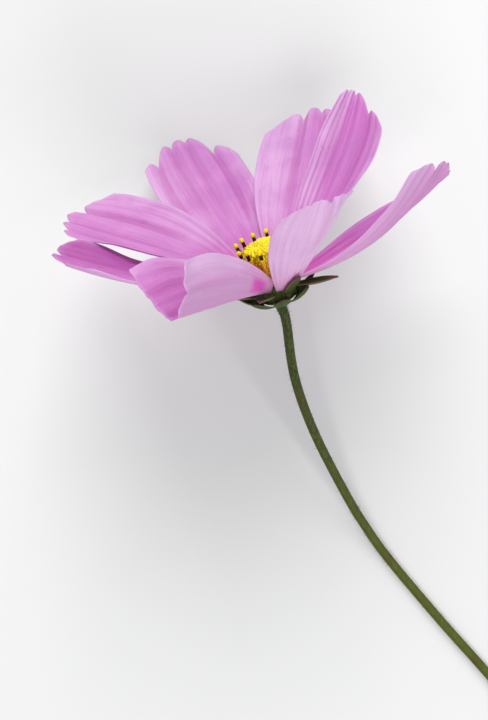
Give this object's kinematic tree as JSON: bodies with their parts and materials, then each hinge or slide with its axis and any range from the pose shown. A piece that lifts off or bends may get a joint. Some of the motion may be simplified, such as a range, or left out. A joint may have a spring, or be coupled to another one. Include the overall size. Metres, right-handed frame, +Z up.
{
  "type": "cosmos flower",
  "caption": "Open pink cosmos flower with toothed petals, a yellow disc and a curved cut stem, lying as picked on a flat surface.",
  "frame": {"origin": "on the surface that the flower lies on, under the middle of its box", "axes": "+Z up from the surface; +Y from the cut end of the stem towards the flower head; +X to the right of that"},
  "size_m": [0.1008, 0.1375, 0.0687],
  "materials": {
    "petal": "soft matt, pink with fine lengthwise veins",
    "outer_bract": "matt, dark green with a purplish tip",
    "inner_bract": "thin and papery, greenish brown with pale edges",
    "disc_yellow": "matt, yellow, granular",
    "stem_green": "matt, ribbed, dark green to olive"
  },
  "bodies": {
    "root": {"petal_1": "petal", "petal_2": "petal", "petal_3": "petal", "petal_4": "petal", "petal_5": "petal", "petal_6": "petal", "petal_7": "petal", "petal_8": "petal", "outer_bract_1": "outer_bract", "outer_bract_2": "outer_bract", "outer_bract_3": "outer_bract", "outer_bract_4": "outer_bract", "outer_bract_5": "outer_bract", "outer_bract_6": "outer_bract", "outer_bract_7": "outer_bract", "outer_bract_8": "outer_bract", "inner_bract_1": "inner_bract", "inner_bract_2": "inner_bract", "inner_bract_3": "inner_bract", "inner_bract_4": "inner_bract", "inner_bract_5": "inner_bract", "inner_bract_6": "inner_bract", "inner_bract_7": "inner_bract", "inner_bract_8": "inner_bract", "disc_florets": "disc_yellow", "open_floret_01": "disc_yellow", "open_floret_02": "disc_yellow", "open_floret_03": "disc_yellow", "open_floret_04": "disc_yellow", "open_floret_05": "disc_yellow", "open_floret_06": "disc_yellow", "open_floret_07": "disc_yellow", "open_floret_08": "disc_yellow", "open_floret_09": "disc_yellow", "open_floret_10": "disc_yellow", "open_floret_11": "disc_yellow", "open_floret_12": "disc_yellow", "stem": "stem_green"}
  },
  "joints": []
}
